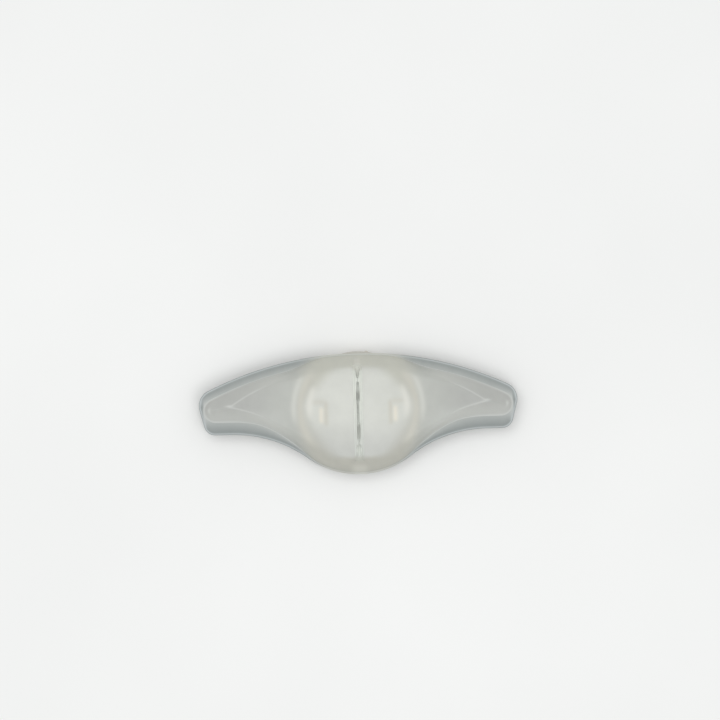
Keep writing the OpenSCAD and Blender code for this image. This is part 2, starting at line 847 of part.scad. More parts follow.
module cell_section() {
    translate([-cell_w / 2 + cell_round, 0])
        square([cell_w - 2 * cell_round, cell_t]);
    translate([-cell_w / 2, cell_round])
        square([cell_w, cell_t - 2 * cell_round]);
    for (s = [-1, 1], z = [cell_round, cell_t - cell_round])
        translate([s * (cell_w / 2 - cell_round), z])
            circle(cell_round);
}

module battery_cell() {
    color([0.70, 0.72, 0.74])
        seated()
            translate([0, cell_y[1], cell_z])
                rotate([90, 0, 0])
                    linear_extrude(cell_len)
                        cell_section();
}

module battery_tape() {
    color([0.95, 0.80, 0.30])
        seated()
            bar([-cell_w / 2 + tape_in, cell_w / 2 - tape_in], [cell_y[0] + tape_in, cell_y[1] - tape_in],
                [board_z, board_z + tape_t]);
}

module lead(x) {
    seated()
        translate([x, cell_y[1], lead_z]) {
            rotate([-90, 0, 0])
                cylinder(r = lead_r, h = lead_run);
            translate([0, lead_run, -lead_bend])
                rotate([90, 0, 90])
                    rotate_extrude(angle = 90)
                        translate([lead_bend, 0])
                            circle(lead_r);
            translate([0, lead_run + lead_bend, board_z - lead_z])
                cylinder(r = lead_r, h = lead_z - lead_bend - board_z);
        }
}

module battery_lead_red() {
    color([0.75, 0.08, 0.06])
        lead(lead_x);
}

module battery_lead_black() {
    color([0.06, 0.06, 0.06])
        lead(-lead_x);
}

// Tact switch on the back of the board, and the button that presses its plunger
switch_z = board_back_z - switch_h;
plunger_r = 1.5;
plunger_out = 0.5;
plunger_in = 0.4;
flange_reach = 1.2;
flange_t = 0.7;
button_dish = 0.3;
button_dish_r = 30;
button_top_z = switch_z - plunger_out;

module switch_body() {
    color([0.12, 0.12, 0.13])
        seated()
            translate([0, -button_drop, switch_z])
                difference() {
                    translate([-switch_size / 2, -switch_size / 2, 0])
                        cube([switch_size, switch_size, switch_h]);
                    translate([0, 0, -1])
                        cylinder(r = plunger_r + snug, h = 1 + plunger_in + button_travel + fit);
                }
}

module switch_plunger() {
    color([0.30, 0.30, 0.31])
        seated()
            translate([0, -button_drop, button_top_z])
                cylinder(r = plunger_r, h = plunger_out + plunger_in);
}

module button_section() {
    difference() {
        union() {
            translate([0, button_recess])
                square([button_r, cup_floor + fit]);
            translate([0, cup_floor + snug])
                square([button_r + flange_reach, flange_t]);
            translate([0, cup_floor])
                square([plunger_r, button_top_z - cup_floor]);
        }
        translate([0, button_recess + button_dish - button_dish_r])
            circle(button_dish_r, $fn = 200);
    }
}

module power_button() {
    color([0.45, 0.45, 0.44])
        seated()
            translate([0, -button_drop, 0])
                rotate_extrude($fn = 96)
                    intersection() {
                        button_section();
                        square(far);
                    }
}

// Charging socket under the board's edge: a folded shell, its tongue and the contacts on it
socket_wall = 0.3;
tongue_w = 3.8;
tongue_t = 0.6;
contact_pitch = 0.65;
contact_count = 5;
contact_w = 0.3;
contact_t = 0.12;
tongue_back = 1.2;
contact_back = 0.3;
socket_mid_z = board_back_z - socket_h / 2;
tongue_y = [socket_y - socket_len + socket_wall, socket_y - tongue_back];

module usb_socket() {
    color([0.75, 0.76, 0.78])
        seated()
            difference() {
                bar([-socket_w / 2, socket_w / 2], [socket_y - socket_len, socket_y],
                    [socket_back_z, board_back_z]);
                bar([-socket_w / 2 + socket_wall, socket_w / 2 - socket_wall],
                    [socket_y - socket_len + socket_wall, socket_y + 1],
                    [socket_back_z + socket_wall, board_back_z - socket_wall]);
            }
}

module usb_tongue() {
    color([0.10, 0.10, 0.10])
        seated()
            bar([-tongue_w / 2, tongue_w / 2], tongue_y,
                [socket_mid_z - tongue_t / 2, socket_mid_z + tongue_t / 2]);
}

module usb_contacts() {
    color([0.85, 0.68, 0.30])
        seated()
            for (i = [0:contact_count - 1])
                translate([(i - (contact_count - 1) / 2) * contact_pitch, 0, 0])
                    bar([-contact_w / 2, contact_w / 2], [tongue_y[0], tongue_y[1] - contact_back],
                        [socket_mid_z - tongue_t / 2 - contact_t, socket_mid_z - tongue_t / 2]);
}

// Parts on the back of the board, each with its middle and size
controller_at = [9.5, -7];
controller_size = [4, 4, 0.9];
charger_at = [-8, 12];
charger_size = [3, 3, 1];
driver_x = 17;
driver_size = [1.6, 2.9, 1.1];
capacitor_at = [[-8, 15.6], [-11.6, 5], [9.5, -2.6], [7, 12]];
capacitor_size = [2, 1.25, 0.9];
resistor_at = [[-5.2, 12.4], [10.4, 3], [10.4, 4.6], [-9.5, -6], [-9.5, -7.6], [-9.5, -9.2]];
resistor_size = [1.6, 0.8, 0.5];
charge_led_at = [7.4, 17.2];
charge_led_size = [1.6, 0.8, 0.6];

module chip(at, size) {
    seated()
        translate([at.x - size.x / 2, at.y - size.y / 2, board_back_z - size.z])
            cube(size);
}

module controller_chip() {
    color([0.08, 0.08, 0.09])
        chip(controller_at, controller_size);
}

module charger_chip() {
    color([0.10, 0.10, 0.11])
        chip(charger_at, charger_size);
}

module led_drivers() {
    color([0.09, 0.09, 0.10])
        for (s = [-1, 1])
            chip([s * driver_x, led_y], driver_size);
}

module capacitors() {
    color([0.62, 0.50, 0.36])
        for (p = capacitor_at)
            chip(p, capacitor_size);
}

module resistors() {
    color([0.14, 0.14, 0.16])
        for (p = resistor_at)
            chip(p, resistor_size);
}

module charge_led() {
    color([0.90, 0.45, 0.25])
        chip(charge_led_at, charge_led_size);
}

// Four screws, from the cup's back into the light core
head_sunk = 0.3;
slot_w = 0.5;
slot_share = 0.65;
slot_depth = 0.6;

module housing_screws() {
    head_t = screw_seat_z - head_sunk;
    slot = [slot_w, 2 * screw_head_r * slot_share, slot_depth];
    color([0.62, 0.63, 0.65])
        seated()
            for (p = boss_at)
                translate([p.x, p.y, screw_seat_z]) {
                    cylinder(r = screw_r, h = screw_len);
                    difference() {
                        translate([0, 0, -head_t])
                            cylinder(r = screw_head_r, h = head_t);
                        for (a = [0, 90])
                            rotate(a)
                                translate([-slot.x / 2, -slot.y / 2, -head_t - eps])
                                    cube(slot);
                    }
                }
}

front_shell();
back_plate();
spoke_grip();
light_core();
engine_cup();
cup_gasket();
port_flap();
main_board();
left_led_board();
right_led_board();
left_led();
right_led();
battery_cell();
battery_tape();
battery_lead_red();
battery_lead_black();
switch_body();
switch_plunger();
power_button();
usb_socket();
usb_tongue();
usb_contacts();
controller_chip();
charger_chip();
led_drivers();
capacitors();
resistors();
charge_led();
housing_screws();
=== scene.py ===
# Looks of the spoke wheel light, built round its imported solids.
# Sizes are in millimetres, with x and y from the dome's middle and z from the back of the cup.
# place() turns them into metres of the frame.
from math import cos, exp, hypot, radians, sin, sqrt

import bpy
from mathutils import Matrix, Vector


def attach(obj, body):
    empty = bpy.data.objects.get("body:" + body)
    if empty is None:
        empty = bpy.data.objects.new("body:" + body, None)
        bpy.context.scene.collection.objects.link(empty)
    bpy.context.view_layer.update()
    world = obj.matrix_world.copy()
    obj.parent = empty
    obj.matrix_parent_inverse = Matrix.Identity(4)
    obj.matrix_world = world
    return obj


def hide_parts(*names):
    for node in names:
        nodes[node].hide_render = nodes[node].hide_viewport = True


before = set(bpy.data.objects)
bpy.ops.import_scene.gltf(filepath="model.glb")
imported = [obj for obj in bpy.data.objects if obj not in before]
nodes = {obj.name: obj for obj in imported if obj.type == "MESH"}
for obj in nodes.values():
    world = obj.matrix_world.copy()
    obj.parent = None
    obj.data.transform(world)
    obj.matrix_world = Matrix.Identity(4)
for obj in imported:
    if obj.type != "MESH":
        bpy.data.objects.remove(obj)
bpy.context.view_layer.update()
per_metre = 1000

# Outline, as in the part's source
half_span = 67.4
crown_h = 23.2
crown_r = 146.0
belly_depth = 28.0
belly_r = 36.3
waist_r = 54.0
tip_low = 10.05
tip_corner_r = 7.0
tip_heel_r = 4.8
tip_slant = 14.6

# Shell, as in the part's source. A pair holds the two ends of a fade.
shell_wall = 1.3
plate_t = 1.2
flange_mid = 0.7
flange_wing_top = 3.9
flange_wing_low = 5.5
flange_tip = 2.1
dome_r = 25.0
dome_rise = 11.1
dome_ball_r = 54.0
dome_edge = 3.2
apex_x = 53.7
apex_h = 3.0
path_depth = 0.2
top_fade = (12, 32)
low_fade = (16, 46)
ridge_soft = 0.6
hip_soft = 0.7
hip_blend = 2.0
dome_soft = 4.0
ring_soft = 1.2
soft_fade = (dome_r - 4, dome_r + 14)

# Spoke channel and light engine, as in the part's source
bore_depth = 3.35
grip_half = 2.0
cup_r = 24.0
cup_depth = 5.4
core_r = 21.6
core_top = 17.3
core_low = 20.8

# What the scene adds: a rounded rim, soft shoulders of the spoke's path, a lap that hides the grip's gap,
# and an edge that is straight over the channel and a little beyond
rim_r = 0.3
path_round = 1.6
path_fade = 0.6
lap = 0.02
straight_beyond = 0.1
straight_half = grip_half + straight_beyond

# Heights over the back of the cup, half the trough's width, and the dome's middle along the frame's Y
seam_z = cup_depth + plate_t
flange_z = seam_z + shell_wall
crest_z = flange_z + dome_rise
trough_half = grip_half - lap
trough_h = crest_z - bore_depth - grip_half - flange_z
middle_y = (belly_depth - cup_r) / 2


def place(x, y, z):
    return (x / per_metre, (y + middle_y) / per_metre, z / per_metre)


def mix(a, b, share):
    return a + (b - a) * share


def clamp(value):
    return min(1.0, max(0.0, value))


def ease(a, b, x):
    share = clamp((x - a) / (b - a))
    return share * share * (3 - 2 * share)


def bell(x, width):
    return exp(-(x / width) ** 2)


def soft_min(a, b, blend):
    share = max(0.0, blend - abs(a - b)) / blend
    return min(a, b) - blend * share * share / 4


def soft_max(a, b, blend):
    return -soft_min(-a, -b, blend)


def root(value):
    return sqrt(max(0.0, value))


def heading_x(a, b):
    return (b[0] - a[0]) / hypot(b[0] - a[0], b[1] - a[1])


def side_of(a, b, x, y):
    return (b[0] - a[0]) * (y - a[1]) - (b[1] - a[1]) * (x - a[0])


# The outer edge: a chain of tangent arcs, given by their middles, and straight over the channel
crown_y = crown_h - crown_r
belly_y = belly_r - belly_depth
waist_y = -tip_low - waist_r
waist_x = sqrt((belly_r + waist_r) ** 2 - (belly_y - waist_y) ** 2)
corner_x = half_span - tip_corner_r
corner_y = crown_y + sqrt((crown_r - tip_corner_r) ** 2 - corner_x ** 2)
end_nx = cos(radians(tip_slant))
end_ny = -sin(radians(tip_slant))
end_reach = end_nx * corner_x + end_ny * corner_y + tip_corner_r
heel_y = tip_heel_r - tip_low
heel_x = (end_reach - tip_heel_r - end_ny * heel_y) / end_nx
belly_to_waist = heading_x((0, belly_y), (waist_x, waist_y))
corner_tangent = corner_x + tip_corner_r * heading_x((0, crown_y), (corner_x, corner_y))


def edge_top(x):
    x = max(x, straight_half)
    if x <= corner_tangent:
        return crown_y + sqrt(crown_r ** 2 - x * x)
    return corner_y + root(tip_corner_r ** 2 - (x - corner_x) ** 2)


def edge_low(x):
    x = max(x, straight_half)
    if x <= belly_r * belly_to_waist:
        return belly_y - sqrt(belly_r ** 2 - x * x)
    if x <= waist_x:
        return waist_y + sqrt(waist_r ** 2 - (x - waist_x) ** 2)
    if x <= heel_x:
        return -tip_low
    if x <= heel_x + tip_heel_r * end_nx:
        return heel_y - root(tip_heel_r ** 2 - (x - heel_x) ** 2)
    if x <= corner_x + tip_corner_r * end_nx:
        return (end_reach - end_nx * x) / end_ny
    return corner_y - root(tip_corner_r ** 2 - (x - corner_x) ** 2)


# The raised body: its foot inside the flange, and the distance of a point from that foot
def flange_top(x):
    return mix(flange_mid, flange_wing_top, ease(*top_fade, x))


def flange_low(x):
    return mix(flange_mid, flange_wing_low, ease(*low_fade, x))


nose_reach = half_span - flange_tip
nose_rim_r = crown_r - flange_wing_top
nose_drop = flange_wing_low - tip_low - crown_y
nose_sum = nose_drop - nose_reach + nose_rim_r
nose_r = sqrt(nose_sum ** 2 - nose_reach ** 2 - nose_drop ** 2 + nose_rim_r ** 2) - nose_sum
nose_x = nose_reach - nose_r
nose_y = flange_wing_low - tip_low + nose_r
nose_tangent = heading_x((0, crown_y), (nose_x, nose_y))


def body_top(x, inset):
    if x <= nose_x + (nose_r - inset) * nose_tangent:
        return crown_y + sqrt((crown_r - flange_top(x) - inset) ** 2 - x * x)
    return nose_y + root((nose_r - inset) ** 2 - (x - nose_x) ** 2)


def body_low(x, inset):
    border = flange_low(x) + inset
    if x <= (belly_r - border) * belly_to_waist:
        return belly_y - sqrt((belly_r - border) ** 2 - x * x)
    if x <= waist_x:
        return waist_y + sqrt((waist_r + border) ** 2 - (x - waist_x) ** 2)
    if x <= nose_x:
        return border - tip_low
    return nose_y - root((nose_r - inset) ** 2 - (x - nose_x) ** 2)


def above_low(x, y):
    if x >= waist_x:
        depth = y + tip_low
    elif side_of((0, belly_y), (waist_x, waist_y), x, y) < 0:
        depth = belly_r - hypot(x, y - belly_y)
    else:
        depth = hypot(x - waist_x, y - waist_y) - waist_r
    return depth - flange_low(x)


def body_depth(x, y):
    if x > nose_x and side_of((0, crown_y), (nose_x, nose_y), x, y) < 0:
        return nose_r - hypot(x - nose_x, y - nose_y)
    below_crown = crown_r - hypot(x, y - crown_y) - flange_top(x)
    return soft_min(below_crown, above_low(x, y), ridge_soft)


# Height of the shell over its flange: hipped wings, a ball for the dome, and the spoke's trough and path
dome_edge_h = dome_rise - dome_ball_r + sqrt(dome_ball_r ** 2 - dome_r ** 2)
apex_y = (body_top(apex_x, 0) + body_low(apex_x, 0)) / 2
hip_run = body_depth(apex_x, apex_y)


def wing_share(x):
    return clamp((x - dome_r) / (apex_x - dome_r))


def facet_h(x):
    return mix(dome_edge_h, apex_h, wing_share(x))


def side_run(x):
    return soft_max(dome_edge, hip_run * wing_share(x), hip_blend)


def body_h(x, y, inset):
    side = facet_h(x) / side_run(x) * max(0.0, body_depth(x, y) - inset)
    ball = dome_rise - dome_ball_r + root(dome_ball_r ** 2 - x * x - y * y)
    top = soft_max(facet_h(x), ball, ring_soft)
    soft = mix(dome_soft, hip_soft, ease(*soft_fade, x))
    return max(0.0, soft_min(side, top, soft))


def shell_h(x, y, inset):
    height = body_h(x, y, inset)
    side = trough_half + inset
    if x <= side:
        return max(0.0, min(height - path_depth, trough_h))
    shoulder = ease(side + path_round, side, x) * ease(trough_h + path_fade, trough_h, height)
    return max(0.0, height - path_depth * shoulder)


# Distance of a point on the shell from its outer edge, and how far the rounded rim drops there
def edge_depth(x, y):
    on_end = (x - corner_x) * -end_ny + (y - corner_y) * end_nx
    if on_end > 0 and side_of((0, crown_y), (corner_x, corner_y), x, y) < 0:
        return tip_corner_r - hypot(x - corner_x, y - corner_y)
    on_heel = (x - heel_x) * -end_ny + (y - heel_y) * end_nx
    if on_heel < 0 and x > heel_x:
        return tip_heel_r - hypot(x - heel_x, y - heel_y)
    crown = crown_r - hypot(x, y - crown_y)
    end = end_reach - end_nx * x - end_ny * y
    return min(crown, end, above_low(x, y) + flange_low(x))


def rim_drop(x, y):
    depth = min(rim_r, max(0.0, edge_depth(x, y)))
    return rim_r - sqrt(rim_r ** 2 - (rim_r - depth) ** 2)


# Stations along X and columns along Y of the fine loft, on more steps than the solid has
dome_steps = 44
wing_steps = 44
tip_steps = 36
side_steps = 9
top_steps = 60
trough_shares = (0.2, 0.45, 0.65, 0.85, 1.0)
trough_step = 0.03
blunt = 0.04
edge_keep = 0.15
keep_span = 4
hip_keep = 0.35
hip_most = 0.94
rim_columns = (0, 0.04, 0.13, 0.3, 0.5, 0.7, 0.95, 1.4)
rim_band = 2.5
foot_step = 0.4
foot_share = 0.2


def stations(reach, groove):
    half = [groove * share for share in trough_shares]
    half += [mix(groove + trough_step, dome_r, i / dome_steps) for i in range(dome_steps)]
    half += [mix(dome_r, apex_x, i / wing_steps) for i in range(wing_steps)]
    half += [mix(apex_x, reach - blunt, sin(radians(90 * i / tip_steps))) for i in range(tip_steps + 1)]
    return [-x for x in reversed(half)] + half


def crowd(share):
    return (share + (1 - cos(radians(180 * share))) / 2) / 2


def body_ys(x, inset):
    keep = edge_keep * min(keep_span, edge_top(x) - edge_low(x))
    low = body_low(x, inset)
    top = body_top(x, inset)
    if inset == 0:
        low = min(max(low, edge_low(x) + keep), edge_top(x) - 3 * keep)
        top = max(min(top, edge_top(x) - keep), low + 2 * keep)
    middle = (low + top) / 2
    spare = (top - low) / 2
    low_in = (middle - body_low(x, inset + side_run(x))) / spare
    top_in = (body_top(x, inset + side_run(x)) - middle) / spare
    low_hip = middle - spare * min(hip_most, max(hip_keep, low_in))
    top_hip = middle + spare * min(hip_most, max(hip_keep, top_in))
    row = [mix(middle - spare, low_hip, i / side_steps) for i in range(side_steps)]
    row += [mix(low_hip, top_hip, crowd(i / top_steps)) for i in range(top_steps + 1)]
    row += [mix(middle + spare, top_hip, i / side_steps) for i in range(side_steps - 1, -1, -1)]
    return row


def flange_steps(width):
    share = min(1, width / rim_band)
    return [share * step for step in rim_columns] + [width - min(foot_step, foot_share * width)]


def outer_ys(x):
    row = body_ys(x, 0)
    low = edge_low(x)
    top = edge_top(x)
    low_side = [low + step for step in flange_steps(row[0] - low)]
    top_side = [top - step for step in reversed(flange_steps(top - row[-1]))]
    return low_side + row + top_side


# Masks for the frosted plastic's tones, from 0 to 1, at a point with x of either wing taken as positive.
# Painted highlight: a pale line just inside the rim, faint over the dome
rim_highlight_in = 0.5
rim_highlight_w = 0.28
rim_highlight_shares = (0.35, 0.75, 0.95)
rim_highlight_wing = (14, 32)
rim_highlight_tip = (56, 66)


def rim_highlight(x, y):
    on_dome, on_wing, at_tip = rim_highlight_shares
    along = mix(on_dome, mix(on_wing, at_tip, ease(*rim_highlight_tip, x)), ease(*rim_highlight_wing, x))
    return bell(edge_depth(x, y) - rim_highlight_in, rim_highlight_w) * along


# Painted highlights: pale lines along the body's foot and the facets' hips, with a glint at each facet's
# point and each nose
foot_w = 0.45
foot_wing = (18, 30)
foot_low = (2, -4)
foot_tip = (56, 62)
foot_faint = 0.75
hip_w = 0.35
hip_wing = (34, 46)
hip_end = 3
hip_highlight_share = 0.7
point_out = 0.6
point_len = 1.6
point_w = 0.5
nose_glint_in = 2.2
nose_glint_w = 0.5
nose_glint_len = 1.2
nose_glint_fade = 1


def crease_highlight(x, y):
    depth = body_depth(x, y)
    strong = max(ease(*foot_low, y), ease(*foot_tip, x))
    foot = bell(depth, foot_w) * ease(*foot_wing, x) * mix(foot_faint, 1.0, strong)
    hip = bell(depth - side_run(x), hip_w) * ease(*hip_wing, x) * ease(apex_x + hip_end, apex_x, x)
    point = bell(x - apex_x - point_out, point_len) * bell(y - apex_y, point_w)
    nose_glint = bell(depth - nose_glint_in, nose_glint_w) * bell(y - nose_y, nose_glint_len)
    nose_glint = nose_glint * ease(nose_x, nose_x + nose_glint_fade, x)
    return max(foot, hip_highlight_share * hip, point, nose_glint)


# Grey flange, lighter towards the body's foot
foot_soft = 0.4
flange_wing = (10, 27)
inner_starts = (0.66, 0.9)
inner_start_fade = (38, 56)
inner_full = 1.1
foot_gap = 0.05


def flange_cover(x, y):
    return ease(foot_soft, -foot_soft, body_depth(x, y)) * ease(*flange_wing, x)


def flange_inner(x, y):
    from_edge = max(0.0, edge_depth(x, y))
    from_foot = max(foot_gap, -body_depth(x, y))
    start = mix(*inner_starts, ease(*inner_start_fade, x))
    return ease(start, inner_full, from_edge / (from_edge + from_foot))


# Wings: milkier near the dome, with painted light on the lower slopes and where they are steep
milky_fade = (28, 48)
slope_low = (2, -5)
slope_wing = (26, 36)
steep_full = 0.4
steep_wing = (24, 36)


def near_dome(x, y):
    return 1 - ease(*milky_fade, x)


def painted_low_slope_light(x, y):
    return ease(*slope_low, y) * ease(*slope_wing, x)


# Warm dome with painted shade, darker to the belly, and the white core showing through, with painted
# shade towards its low end
dome_fade = (16, 29)
dome_shade = (14, -14)
core_shoulder = 27.0
core_haunch = 20.2
haunch_x = 0.82
haunch_y = 0.57
haunch_share = 0.55
core_end_soft = 1.2
core_cut_soft = 3
core_side_out = 1.2
core_side_fade = (-3.2, 2.8)
core_shade_fade = (-2, -19)


def dome_cover(x, y):
    return 1 - ease(*dome_fade, x)


def dome_painted_shade(x, y):
    return ease(*dome_shade, y)


def core_cover(x, y):
    crown_in = crown_r - crown_h + core_top - hypot(x, y - crown_y)
    ends = ease(-core_end_soft, core_end_soft, min(crown_in, core_low + y))
    shoulders = ease(-core_cut_soft, core_cut_soft, (core_shoulder - x - y) / sqrt(2))
    haunches = ease(-core_cut_soft, core_cut_soft, core_haunch - haunch_x * x + haunch_y * y)
    sides = ease(*core_side_fade, core_r + core_side_out - hypot(x, y))
    return ends * shoulders * sides * mix(haunch_share, 1.0, haunches)


# Painted shade over the core, darker towards its low end
def core_painted_shade(x, y):
    return ease(*core_shade_fade, y)


# Arcs at the dome's left and right, which fade where they no longer face the wings: painted highlights on
# the dome's shoulders and along its ring, and a warm band
shoulder_highlight_low = (-6, 1)
ring_highlight_low = (-9, 0)


def side_arc(x, y, radius, width, facing):
    reach = hypot(x, y)
    return bell(reach - radius, width) * ease(*facing, x / max(reach, 1.0))


def shoulder_highlight(x, y):
    return side_arc(x, y, radius=20.6, width=1.5, facing=(0.85, 0.95)) * ease(*shoulder_highlight_low, y)


def ring_highlight(x, y):
    return side_arc(x, y, radius=27.2, width=1.3, facing=(0.82, 0.95)) * ease(*ring_highlight_low, y)


def warm_ring(x, y):
    return side_arc(x, y, radius=24.3, width=2.0, facing=(0.7, 0.9))


# LEDs and their boards, seen through the core's pockets, with a painted shadow of each pocket's upper
# wall
board_x = 13.6
pocket_shadow_y = 2.9
pocket_shadow_share = 0.7
led_x = 15.6


def stroke(off, width, along, start, end):
    return bell(off, width) * ease(*start, along) * ease(*end, along)


def board_and_pocket_shadow(x, y):
    strip = stroke(x - board_x, width=1.0, along=y, start=(-8, -5.6), end=(4.4, 2))
    pocket_shadow = stroke(y - pocket_shadow_y, width=1.2, along=x, start=(12.8, 15), end=(20.6, 17.6))
    return max(strip, pocket_shadow_share * pocket_shadow)


def led_glow(x, y):
    return stroke(x - led_x, width=1.0, along=y, start=(-6.8, -4.6), end=(1.7, -0.5))


# Spoke's path beyond both ends of the channel
path_top_half = (1.7, 0.8)
path_top_start = (16.5, 17.5)
path_top_end = (21.6, 20.4)
path_low_half = (5, 1.2)
path_low_start = (-22.6, -25.4)
path_low_share = 0.8


def path_strip(x, y):
    top = ease(*path_top_half, x) * ease(*path_top_start, y) * ease(*path_top_end, y)
    low = ease(*path_low_half, x) * ease(*path_low_start, y)
    return max(top, path_low_share * low)


masks = (
    rim_highlight, crease_highlight, flange_cover, flange_inner, near_dome, painted_low_slope_light, dome_cover, dome_painted_shade,
    core_cover, core_painted_shade, shoulder_highlight, ring_highlight, warm_ring, board_and_pocket_shadow, led_glow, path_strip,
)


# Fine front shell: an outer and an inner skin, joined along the seam
outer_x = stations(half_span, trough_half)
inner_x = stations(nose_reach - shell_wall, trough_half + shell_wall)
rows = len(outer_x)
inner_cols = 2 * side_steps + top_steps + 1
outer_cols = inner_cols + 2 * (len(rim_columns) + 1)
inner_start = rows * outer_cols
seam_start = inner_start + rows * inner_cols
shell_crease = 32
piece_crease = 30


def shell_points():
    points = []
    for x in outer_x:
        side = abs(x)
        for y in outer_ys(side):
            points.append((x, y, flange_z + shell_h(side, y, 0) - rim_drop(side, y)))
    for i, x in enumerate(inner_x):
        side = abs(x)
        for j, y in enumerate(body_ys(side, shell_wall)):
            on_seam = i in (0, rows - 1) or j in (0, inner_cols - 1)
            points.append((x, y, seam_z if on_seam else seam_z + shell_h(side, y, shell_wall)))
    points += [(x, edge_low(abs(x)), seam_z) for x in outer_x]
    points += [(x, edge_top(abs(x)), seam_z) for x in outer_x]
    return points


def outer(i, j):
    return i * outer_cols + j


def inner(i, j):
    return inner_start + i * inner_cols + j


def seam_low(i):
    return seam_start + i


def seam_top(i):
    return seam_start + rows + i


def shell_faces():
    end = rows - 1
    last_out = outer_cols - 1
    last_in = inner_cols - 1
    faces = []
    for i in range(end):
        k = i + 1
        faces += [(outer(k, j), outer(k, j + 1), outer(i, j + 1), outer(i, j)) for j in range(last_out)]
        faces += [(inner(i, j + 1), inner(k, j + 1), inner(k, j), inner(i, j)) for j in range(last_in)]
        faces.append((inner(i, 0), inner(k, 0), seam_low(k), seam_low(i)))
        faces.append((seam_top(i), seam_top(k), inner(k, last_in), inner(i, last_in)))
        faces.append((seam_low(i), seam_low(k), outer(k, 0), outer(i, 0)))
        faces.append((seam_top(k), seam_top(i), outer(i, last_out), outer(k, last_out)))
    faces.append([seam_low(0), seam_top(0)] + [inner(0, j) for j in range(last_in, -1, -1)])
    faces.append([seam_low(end)] + [inner(end, j) for j in range(inner_cols)] + [seam_top(end)])
    faces.append([seam_low(0)] + [outer(0, j) for j in range(outer_cols)] + [seam_top(0)])
    faces.append([seam_low(end), seam_top(end)] + [outer(end, j) for j in range(last_out, -1, -1)])
    return faces


def add_attribute(mesh, name, values):
    attribute = mesh.attributes.new(name, "FLOAT", "POINT")
    attribute.data.foreach_set("value", values)


def smooth(obj, angle):
    mesh = obj.data
    mesh.polygons.foreach_set("use_smooth", [True] * len(mesh.polygons))
    mesh.set_sharp_from_angle(angle=radians(angle))


def build_shell():
    points = shell_points()
    mesh = bpy.data.meshes.new("frosted_front")
    mesh.from_pydata([place(*point) for point in points], [], shell_faces())
    mesh.validate()
    mesh.update()
    flat = [(abs(x), y) for x, y, z in points]
    for mask in masks:
        add_attribute(mesh, mask.__name__, [mask(x, y) for x, y in flat])
    # Painted light on the wings' steep slopes, taken from the mesh's normals
    slopes = [clamp((1 - vertex.normal.z) / steep_full) for vertex in mesh.vertices]
    add_attribute(mesh, "painted_steep_light", [slope * ease(*steep_wing, x) for slope, (x, y) in zip(slopes, flat)])
    obj = bpy.data.objects.new("frosted_front", mesh)
    bpy.context.scene.collection.objects.link(obj)
    smooth(obj, shell_crease)
    return obj


# Linear colour of an sRGB tone, which is given from 0 to 255
def lin(r, g, b):
    out = []
    for tone in (r, g, b):
        share = tone / 255
        out.append(share / 12.92 if share <= 0.04045 else ((share + 0.055) / 1.055) ** 2.4)
    return (out[0], out[1], out[2], 1.0)


# A material under way, with short calls for the nodes that the looks need.
# The mix numbers are the Mix node's sockets for colours.
noise_low = 0.3
noise_high = 0.7
soft_detail = 3.0
fine_detail = 2.0
tone_step = 5
mix_a = 6
mix_b = 7
mix_result = 2


class Mat:
    def __init__(self, name):
        self.mat = bpy.data.materials.new(name)
        self.mat.use_nodes = True
        self.tree = self.mat.node_tree
        self.tree.nodes.clear()
        self.bsdf = self.node("BsdfPrincipled")
        self.link(self.bsdf.outputs[0], self.node("OutputMaterial").inputs["Surface"])
        self.coords = self.node("TexCoord").outputs["Object"]

    def node(self, kind):
        return self.tree.nodes.new("ShaderNode" + kind)

    def link(self, source, socket):
        self.tree.links.new(source, socket)

    def fill(self, value, socket):
        if isinstance(value, (tuple, float, int)):
            socket.default_value = value
        else:
            self.link(value, socket)

    def set(self, **values):
        for name, value in values.items():
            self.bsdf.inputs[name.replace("_", " ")].default_value = value

    def noise(self, scale, detail=soft_detail):
        node = self.node("TexNoise")
        node.inputs["Scale"].default_value = scale
        node.inputs["Detail"].default_value = detail
        self.link(self.coords, node.inputs["Vector"])
        return node.outputs["Fac"]

    def mask(self, name):
        node = self.node("Attribute")
        node.attribute_name = name
        return node.outputs["Fac"]

    def axis(self, name):
        node = self.node("SeparateXYZ")
        self.link(self.coords, node.inputs[0])
        return node.outputs[name]

    def math(self, kind, a, b):
        node = self.node("Math")
        node.operation = kind
        self.fill(a, node.inputs[0])
        self.fill(b, node.inputs[1])
        return node.outputs[0]

    def span(self, source, low, high, to_low=0.0, to_high=1.0):
        node = self.node("MapRange")
        node.inputs["From Min"].default_value = low
        node.inputs["From Max"].default_value = high
        node.inputs["To Min"].default_value = to_low
        node.inputs["To Max"].default_value = to_high
        self.link(source, node.inputs["Value"])
        return node.outputs["Result"]

    def ramp(self, source, stops):
        node = self.node("ValToRGB")
        elements = node.color_ramp.elements
        for element, (position, colour) in zip(elements, (stops[0], stops[-1])):
            element.position = position
            element.color = colour
        for position, colour in stops[1:-1]:
            elements.new(position).color = colour
        self.link(source, node.inputs["Fac"])
        return node.outputs["Color"]

    def grain(self, scale, dark, light):
        return self.ramp(self.noise(scale), [(noise_low, lin(*dark)), (noise_high, lin(*light))])

    def tone(self, scale, dark):
        return self.grain(scale, dark, [part + tone_step for part in dark])

    def blend(self, share, a, b, kind="MIX"):
        node = self.node("Mix")
        node.data_type = "RGBA"
        node.blend_type = kind
        self.fill(share, node.inputs[0])
        self.fill(a, node.inputs[mix_a])
        self.fill(b, node.inputs[mix_b])
        return node.outputs[mix_result]

    def colour(self, source):
        self.link(source, self.bsdf.inputs["Base Color"])

    def rough(self, source, low, high):
        self.link(self.span(source, noise_low, noise_high, low, high), self.bsdf.inputs["Roughness"])

    def bump(self, source, strength, distance):
        node = self.node("Bump")
        node.inputs["Strength"].default_value = strength
        node.inputs["Distance"].default_value = distance
        self.link(source, node.inputs["Height"])
        self.link(node.outputs["Normal"], self.bsdf.inputs["Normal"])


